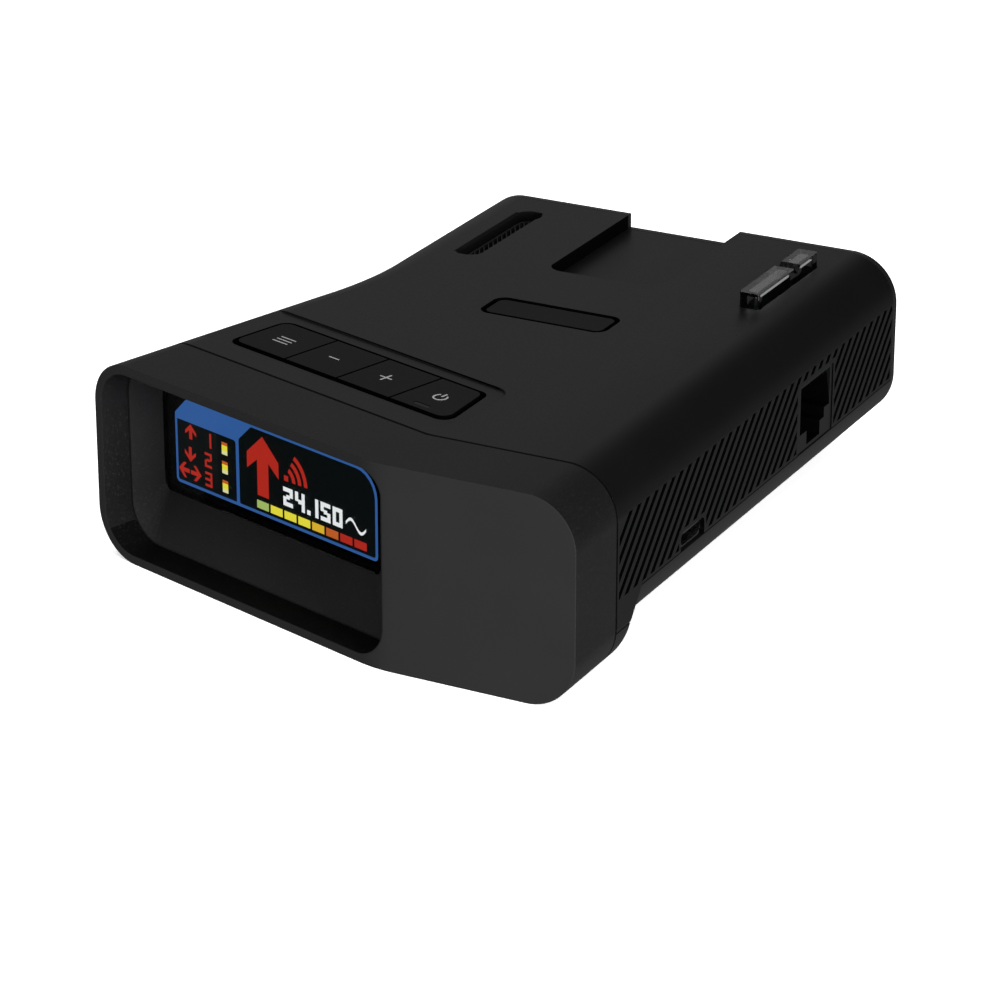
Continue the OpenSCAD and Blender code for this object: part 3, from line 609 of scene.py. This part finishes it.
def arc_band(centre, radius, width, start, end, steps=20):
    """A band along an arc from the angle start to the angle end, in degrees."""
    angles = [math.radians(start + (end - start) * k / steps) for k in range(steps + 1)]
    outer = [(centre[0] + radius * math.cos(a), centre[1] + radius * math.sin(a)) for a in angles]
    inner = [(centre[0] + (radius - width) * math.cos(a), centre[1] + (radius - width) * math.sin(a))
             for a in angles]
    return [[outer[k], outer[k + 1], inner[k + 1], inner[k]] for k in range(steps)]


def arrow(tip, turn, half, shoulder, cheek, notch, stem, length):
    """An arrow that points up before it is turned by turn degrees.

    half and stem are half widths of the head and the shaft; shoulder, cheek, notch and length are
    distances below the tip.
    """
    side = [(half, -shoulder), (half, -cheek), (stem, -notch), (stem, -length)]
    points = [(0, 0)] + side + [(-x, y) for x, y in reversed(side)]
    angle = math.radians(turn)
    return [(tip[0] + x * math.cos(angle) - y * math.sin(angle),
             tip[1] + x * math.sin(angle) + y * math.cos(angle)) for x, y in points]


# Which bars each figure has: a top, b and c right, d bottom, e and f left, g middle.
FIGURES = {"0": "abcdef", "1": "bc", "2": "abged", "3": "abgcd", "4": "fgbc", "5": "afgcd"}


def digit(figure, left, low, width, height, bar):
    """A figure made of upright and level bars, with no two of them overlapping."""
    lit = FIGURES[figure]
    right, top, middle = left + width, low + height, low + height / 2
    uprights = {"f": (left, middle, top), "b": (right - bar, middle, top),
                "e": (left, low, middle), "c": (right - bar, low, middle)}
    shapes = [box_shape(x, x + bar, start, end) for key, (x, start, end) in uprights.items() if key in lit]
    for key, y, left_bars, right_bars in (("a", top - bar, "f", "b"), ("g", middle - bar / 2, "fe", "bc"),
                                          ("d", low, "e", "c")):
        if key in lit:
            start = left + bar * any(k in lit for k in left_bars)
            end = right - bar * any(k in lit for k in right_bars)
            shapes.append(box_shape(start, end, y, y + bar))
    return shapes


def wave_band(left, right, middle, swing, width, steps=24):
    """A band along one period of a wave."""
    def at(k, offset):
        t = k / steps
        return (left + (right - left) * t, middle + swing * math.sin(2 * math.pi * t) + offset)
    return [[at(k, width / 2), at(k + 1, width / 2), at(k + 1, -width / 2), at(k, -width / 2)]
            for k in range(steps)]


# ---------------------------------------------------------------- the lit picture

# The lit field, in the display's own frame: its edges, the lines in it and the band at its top.
FIELD_LEFT, FIELD_RIGHT = -55.95, -11.45
FIELD_LOW, FIELD_HIGH = 9.35, 23.5
FRAME_LINE = 0.5
DIVIDER_LEFT, DIVIDER_RIGHT = -42.2, -41.5
HEADER_LOW = 19.8

BAND_SIGN_LEFT = -49.3
BAND_LEVEL_LEFT, BAND_LEVEL_RIGHT = -45.35, -44.1
BAND_ROWS = [16.8, 13.7, 10.6]
WAVES_AT = (-31.5, 16.5)
WAVES_DOT, WAVES_WIDTH = 0.9, 0.75
FIGURES_LEFT, FIGURES_LOW = -31.75, 12.5
FIGURE_W, FIGURE_H, FIGURE_BAR, FIGURE_PITCH = 2.1, 3.0, 0.68, 2.6
POINT_SIZE, POINT_PITCH = 0.75, 1.25
ONE_SHIFT = 0.9
LEVELS_LEFT, LEVELS_LOW = -37.63, 10.35
LEVEL_W, LEVEL_H, LEVEL_PITCH = 2.62, 1.3, 3.03
LAYER_GAP, LAYER_HEIGHT = 0.02, 0.008
LEVEL_COLOURS = ["pale", "yellow", "yellow", "yellow", "gold", "orange", "red", "red"]


def on_screen(layer):
    """Puts shapes on the display, each layer a hair in front of the one before."""
    d = SCREEN_D - LAYER_GAP * (layer + 1)
    return lambda point, height: at_display(point[0], d - height, point[1])


def show(name, colour, layer, shapes):
    """A lit area of one colour."""
    slab(name, "case", PICTURE[colour], shapes, on_screen(layer), LAYER_HEIGHT)


def field():
    """The blue field and the two dark areas in it."""
    show("lit_field", "blue", 0, [round_corners(
        [(FIELD_LEFT, FIELD_LOW), (FIELD_RIGHT, FIELD_LOW), (FIELD_RIGHT, FIELD_HIGH),
         (-53.2, FIELD_HIGH), (FIELD_LEFT, FIELD_HIGH - 2.8)], [0.8, 0.8, 4.4, 1.2, 0.6])])
    low, high = FIELD_LOW + FRAME_LINE, FIELD_HIGH - FRAME_LINE
    left, right = FIELD_LEFT + FRAME_LINE, FIELD_RIGHT - FRAME_LINE
    show("dark_areas", "black", 1, [
        round_corners(box_shape(left, DIVIDER_LEFT, low, HEADER_LOW), [0.4, 0.2, 0.5, 0.1]),
        round_corners([(DIVIDER_RIGHT, low), (right, low), (right, high), (-38.7, high),
                       (DIVIDER_RIGHT, HEADER_LOW + 0.5)], [0.2, 0.4, 4.0, 0.3, 0.6]),
    ])


def red_signs():
    """The large arrow, the small arrows, the numbers of the bands and the signal waves."""
    red = [arrow((-36.2, 22.15), 0, 3.5, 3.3, 5.9, 4.0, 1.25, 9.7)]
    for tip, turn in (((-52.4, 19.6), 0), ((-52.6, 13.4), 180),
                      ((-55.35, 11.75), 90), ((-50.15, 11.75), -90)):
        red.append(arrow(tip, turn, 1.25, 1.2, 1.8, 1.05, 0.34, 2.45))
    for figure, low in (("1", 16.9), ("2", 13.6), ("3", 10.45)):
        red += digit(figure, BAND_SIGN_LEFT, low, 1.6, 2.4, 0.42)
    x, z = WAVES_AT
    red.append(box_shape(x, x + WAVES_DOT, z, z + WAVES_DOT))
    for radius in (2.5, 3.8, 5.1):
        red += arc_band(WAVES_AT, radius, WAVES_WIDTH, 2, 62)
    show("red_signs", "red", 2, red)


def white_figures():
    """A frequency, and a small wave after it."""
    shapes = []
    left = FIGURES_LEFT
    for figure in "24.150":
        if figure == ".":
            shapes.append(box_shape(left, left + POINT_SIZE, FIGURES_LOW, FIGURES_LOW + POINT_SIZE))
            left += POINT_PITCH
            continue
        if figure == "1":
            left -= ONE_SHIFT
        shapes += digit(figure, left, FIGURES_LOW, FIGURE_W, FIGURE_H, FIGURE_BAR)
        left += FIGURE_PITCH
    shapes += wave_band(-18.2, -13.9, 13.7, 0.85, 0.5)
    show("white_figures", "white", 2, shapes)


def levels():
    """The row of coloured levels, and the small stack of levels of each band."""
    for i, colour in enumerate(LEVEL_COLOURS):
        left = LEVELS_LEFT + LEVEL_PITCH * i
        show(f"level_{i + 1}", colour, 2,
             [box_shape(left, left + LEVEL_W, LEVELS_LOW, LEVELS_LOW + LEVEL_H)])
    for i, row in enumerate(BAND_ROWS):
        for part, colour, low, high in (("low", "cream", 0, 0.6), ("middle", "yellow", 0.6, 1.5),
                                        ("high", "orange", 1.5, 2.0)):
            show(f"band_{part}_{i + 1}", colour, 2,
                 [box_shape(BAND_LEVEL_LEFT, BAND_LEVEL_RIGHT, row + low, row + high)])


field()
red_signs()
white_figures()
levels()


# ---------------------------------------------------------------- signs on the buttons

PRINT_HEIGHT, PRINT_GAP = 0.03, 0.004


def on_button(centre):
    """Puts shapes on a button's top, along the row, around a centre in millimetres."""
    def to_world(point, height):
        x = centre[0] + point[0] * math.cos(FACE_TURN) + point[1] * math.sin(FACE_TURN)
        y = centre[1] - point[0] * math.sin(FACE_TURN) + point[1] * math.cos(FACE_TURN)
        return Vector((x, y, BUTTON_TOP + PRINT_GAP + height)) * MM
    return to_world


def sign(name, body, centre, shapes):
    """A printed sign on a button."""
    slab(name, body, PRINT, shapes, on_button(centre), PRINT_HEIGHT)


sign("menu_sign", "menu", (-22.8, -20.8),
     [box_shape(-1.6, 1.6, y - 0.12, y + 0.12) for y in (-0.9, 0, 0.9)])
sign("minus_sign", "minus", (-12.4, -23.8), [box_shape(-1.05, 1.05, -0.13, 0.13)])
sign("plus_sign", "plus", (-1.6, -27.2),
     [box_shape(-1.2, 1.2, -0.14, 0.14), box_shape(-0.14, 0.14, 0.14, 1.2),
      box_shape(-0.14, 0.14, -1.2, -0.14)])
sign("power_sign", "power", (9.3, -30.4),
     arc_band((0, 0), 1.2, 0.28, 130, 410) + [box_shape(-0.14, 0.14, 0.2, 1.4)])


# ---------------------------------------------------------------- stage, light and camera

# The floor's half width and the y of its centre, in metres.
FLOOR_HALF, FLOOR_Y = 3.0, 1.0


def stage():
    """A pale floor that reaches past the view, and that the object neither mirrors nor is lit by."""
    mesh = bpy.data.meshes.new("floor")
    corners = box_shape(-FLOOR_HALF, FLOOR_HALF, FLOOR_Y - FLOOR_HALF, FLOOR_Y + FLOOR_HALF)
    mesh.from_pydata([(x, y, 0) for x, y in corners], [], [(0, 1, 2, 3)])
    floor = link("floor", mesh)
    material, tree, shader, place = new_material("floor_paper")
    tone = noise(tree, place, 40, detail=2.0)
    paper = blend_colour(tree, tone, (0.88, 0.88, 0.88), (0.92, 0.92, 0.92))
    tree.links.new(paper, shader.inputs["Base Color"])
    shader.inputs["Roughness"].default_value = 0.9
    shader.inputs["Specular IOR Level"].default_value = 0.1
    shader.inputs["Emission Color"].default_value = (1, 1, 1, 1)
    shader.inputs["Emission Strength"].default_value = 0.45
    mesh.materials.append(material)
    floor.visible_glossy = False
    floor.visible_diffuse = False
    floor.visible_transmission = False


def area_light(name, position, size, watts, target=Vector((0, 0, 0.015)), glossy=True):
    """A soft lamp that points at the target; glossy is whether it is mirrored or seen through glass."""
    data = bpy.data.lights.new(name, "AREA")
    data.shape = "RECTANGLE"
    data.size, data.size_y = size
    data.energy = watts
    lamp = bpy.data.objects.new(name, data)
    lamp.location = position
    lamp.rotation_euler = (target - Vector(position)).to_track_quat("-Z", "Y").to_euler()
    lamp.visible_glossy = glossy
    lamp.visible_transmission = glossy
    bpy.context.scene.collection.objects.link(lamp)
    return lamp


def direction(azimuth, elevation):
    """The direction at an azimuth from +Y towards +X, and an elevation, in degrees."""
    a, e = math.radians(azimuth), math.radians(elevation)
    return Vector((math.sin(a) * math.cos(e), math.cos(a) * math.cos(e), math.sin(e)))


def facing(tree, way, towards, edge, full, far, near):
    """A value that goes from far to near as a way turns towards a direction.

    edge and full are the cosines of the angles between them where it starts and where it is done.
    """
    along = combine(tree, "DOT_PRODUCT", way, towards)["Value"]
    return spread(tree, along, far, near, edge, full, "SMOOTHSTEP")


# The sky lights the object evenly, but is mirrored at these lower levels, above and below the horizon.
SKY = 0.85
SHEEN_HIGH, SHEEN_LOW = 0.158, 0.145
# The black flags: the direction of each, and the cosines where its shade starts and is full.
FLAGS = [(direction(33, 14), 0.64, 0.90), (direction(241.6, -22.8), 0.90, 0.97)]
# The pale cards that the upright edges and the ribs mirror: the direction and level of each.
CARDS = [(direction(118, -22.8), 1.3), (direction(29, -24), 0.055)]
CARD_EDGE, CARD_FULL = 0.90, 0.98


def sky():
    """Even light all round, and a dimmer reflection of it with black flags and pale cards."""
    world = bpy.data.worlds.new("studio")
    world.use_nodes = True
    tree = world.node_tree
    way = add_node(tree, "ShaderNodeTexCoord").outputs["Generated"]
    height = add_node(tree, "ShaderNodeSeparateXYZ", Vector=way).outputs["Z"]
    sheen = spread(tree, height, SHEEN_LOW, SHEEN_HIGH, -0.15, 0.15)
    for flag, edge, full in FLAGS:
        sheen = compute(tree, "MULTIPLY", sheen, facing(tree, way, flag, edge, full, 1, 0))
    for card, level in CARDS:
        sheen = compute(tree, "ADD", sheen, facing(tree, way, card, CARD_EDGE, CARD_FULL, 0, level))
    path = add_node(tree, "ShaderNodeLightPath")
    mirrored = compute(tree, "MAXIMUM", path.outputs["Is Glossy Ray"], path.outputs["Is Transmission Ray"])
    level = compute(tree, "MULTIPLY_ADD", mirrored, compute(tree, "SUBTRACT", sheen, SKY), SKY)
    background = tree.nodes["Background"]
    background.inputs["Color"].default_value = (1, 1, 1, 1)
    tree.links.new(level, background.inputs["Strength"])
    bpy.context.scene.world = world


def lens_lights():
    """Two lamps that only light the clear lens: a wide one for its top and a strip for its edges."""
    lit = bpy.data.collections.new("lens_only")
    lit.objects.link(bpy.data.objects["laser_lens_form"])
    lens_low, lens_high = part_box("laser_lens")
    middle = (lens_low + lens_high) / 2
    for name, towards, distance, size, watts in (
            ("lens_glow", direction(-27.8, 22.8), 0.6, (0.5, 0.35), 0.11),
            ("lens_edge", direction(27, 24), 0.3, (0.012, 0.20), 0.05)):
        lamp = area_light(name, middle + distance * towards, size, watts, target=middle)
        lamp.light_linking.receiver_collection = lit


# How the picture is taken: degrees, millimetres of lens, and the place in millimetres.
CAMERA_AZIMUTH, CAMERA_ELEVATION = 27.83, 22.77
CAMERA_LENS, CAMERA_SENSOR = 148.16, 36
CAMERA_PLACE = Vector((274.85, -516.37, 248.85))


def camera():
    """The camera, aimed along its azimuth and elevation."""
    azimuth, elevation = math.radians(CAMERA_AZIMUTH), math.radians(CAMERA_ELEVATION)
    back = Vector((math.sin(azimuth) * math.cos(elevation), -math.cos(azimuth) * math.cos(elevation),
                   math.sin(elevation)))
    data = bpy.data.cameras.new("camera")
    data.lens = CAMERA_LENS
    data.sensor_width = CAMERA_SENSOR
    data.clip_start = 0.01
    eye = bpy.data.objects.new("camera", data)
    eye.location = CAMERA_PLACE * MM
    eye.rotation_euler = (-back).to_track_quat("-Z", "Y").to_euler()
    bpy.context.scene.collection.objects.link(eye)
    bpy.context.scene.camera = eye


stage()
sky()
area_light("overhead", (0.05, 0.15, 0.9), (0.9, 0.7), 6, glossy=False)
lens_lights()
area_light("right", (0.72, -0.36, 0.16), (0.3, 0.3), 14, glossy=False)
camera()
bpy.context.scene.view_settings.view_transform = "Standard"
